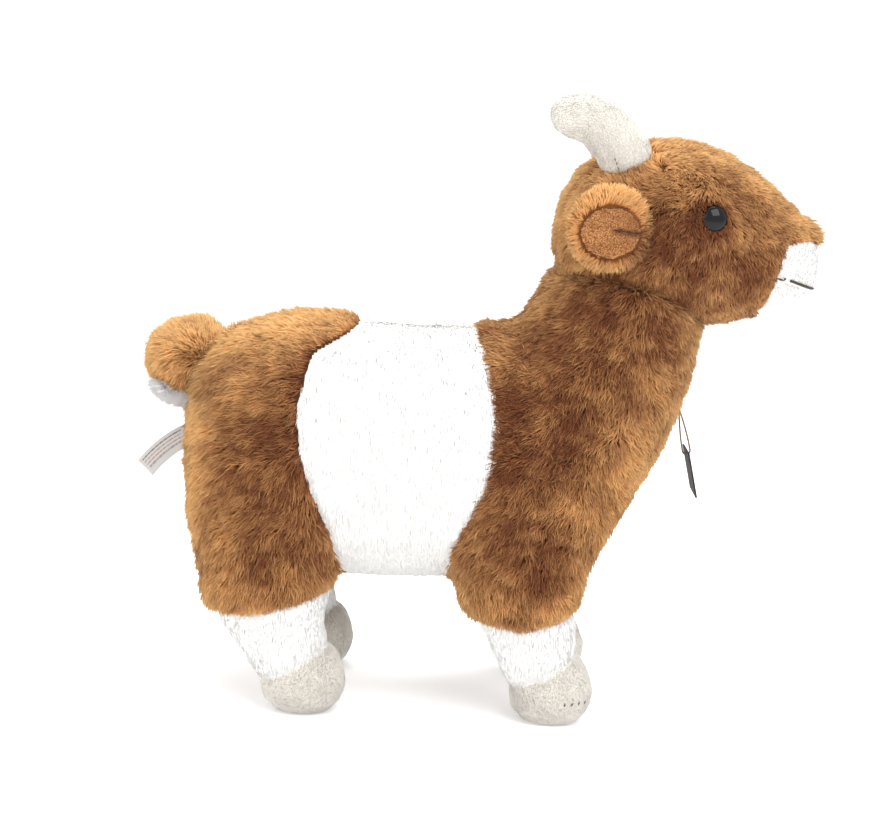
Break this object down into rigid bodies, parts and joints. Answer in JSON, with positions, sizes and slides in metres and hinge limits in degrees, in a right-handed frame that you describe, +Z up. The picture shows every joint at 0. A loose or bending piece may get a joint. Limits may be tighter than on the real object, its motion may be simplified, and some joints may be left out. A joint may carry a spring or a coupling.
{
  "type": "plush goat",
  "caption": "Standing plush goat: sewn brown and white fur panels over soft filling, with grey velour horns and hooves and floppy ears and tail.",
  "frame": {"origin": "middle of the goat's box on the surface it stands on", "axes": "+X towards the nose, +Y towards the goat's left side, +Z up"},
  "size_m": [0.2958, 0.1194, 0.2711],
  "materials": {
    "brown_fur": "dense plush pile, 4 to 6 mm, dark at the root and golden at the tip",
    "white_fur": "dense plush pile, 4 to 6 mm, white",
    "grey_velour": "short-pile warm grey velour",
    "brown_velour": "short-pile reddish brown velour",
    "filling": "loose polyester fibre filling",
    "eye_plastic": "polished black",
    "washer_plastic": "natural moulded",
    "dark_thread": "twisted thread",
    "satin_ribbon": "woven satin ribbon, blank",
    "card": "coated card, blank, dark cut edge"
  },
  "bodies": {
    "body": {"belly_band_left": "white_fur", "belly_band_right": "white_fur", "cheek_panel_left": "brown_fur", "cheek_panel_right": "brown_fur", "crown_panel": "brown_fur", "eye_left": "eye_plastic", "eye_right": "eye_plastic", "eye_washer_left": "washer_plastic", "eye_washer_right": "washer_plastic", "front_hoof_left": "grey_velour", "front_hoof_right": "grey_velour", "front_inner_leg_left": "brown_fur", "front_inner_leg_right": "brown_fur", "front_leg_stuffing_left": "filling", "front_leg_stuffing_right": "filling", "front_sock_left": "white_fur", "front_sock_right": "white_fur", "front_sole_left": "grey_velour", "front_sole_right": "grey_velour", "head_stuffing": "filling", "hind_hoof_left": "grey_velour", "hind_hoof_right": "grey_velour", "hind_inner_leg_left": "brown_fur", "hind_inner_leg_right": "brown_fur", "hind_leg_stuffing_left": "filling", "hind_leg_stuffing_right": "filling", "hind_sock_left": "white_fur", "hind_sock_right": "white_fur", "hind_sole_left": "grey_velour", "hind_sole_right": "grey_velour", "horn_left": "grey_velour", "horn_right": "grey_velour", "horn_stuffing_left": "filling", "horn_stuffing_right": "filling", "mouth_thread": "dark_thread", "muzzle_lower": "white_fur", "muzzle_upper": "white_fur", "rump_panel_left": "brown_fur", "rump_panel_right": "brown_fur", "shoulder_panel_left": "brown_fur", "shoulder_panel_right": "brown_fur", "torso_stuffing": "filling"},
    "tail": {"tail_top": "brown_fur", "tail_underside": "white_fur", "tail_stuffing": "filling"},
    "ear_left": {"ear_left": "brown_fur", "ear_lining_left": "brown_velour"},
    "ear_right": {"ear_right": "brown_fur", "ear_lining_right": "brown_velour"},
    "care_label": {"care_label": "satin_ribbon"},
    "tag_string": {"tag_string": "dark_thread"},
    "hang_tag": {"hang_tag": "card"}
  },
  "joints": [
    {"name": "tail_flop", "type": "hinge", "parent": "body", "child": "tail", "pos_m": [-0.11588, -0.00002, 0.1514], "axis": [0, 1, 0], "range_deg": [-5, 40], "stiffness_Nm_per_rad": 0.05},
    {"name": "ear_left_fold", "type": "hinge", "parent": "body", "child": "ear_left", "pos_m": [0.07112, 0.03848, 0.216], "axis": [0, 0, -1], "range_deg": [-10, 50], "stiffness_Nm_per_rad": 0.02},
    {"name": "ear_right_fold", "type": "hinge", "parent": "body", "child": "ear_right", "pos_m": [0.07112, -0.03852, 0.216], "axis": [0, 0, 1], "range_deg": [-10, 50], "stiffness_Nm_per_rad": 0.02},
    {"name": "label_bend", "type": "hinge", "parent": "body", "child": "care_label", "pos_m": [-0.12448, -0.00002, 0.113], "axis": [0, 0, 1], "range_deg": [-70, 70], "stiffness_Nm_per_rad": 0.002},
    {"name": "string_swing", "type": "hinge", "parent": "body", "child": "tag_string", "pos_m": [0.09262, -0.00002, 0.134], "axis": [0, -1, 0], "range_deg": [-22, 80]},
    {"name": "tag_swing", "type": "hinge", "parent": "tag_string", "child": "hang_tag", "pos_m": [0.09732, -0.00002, 0.11364], "axis": [0, 1, 0], "range_deg": [-18, 18]}
  ]
}
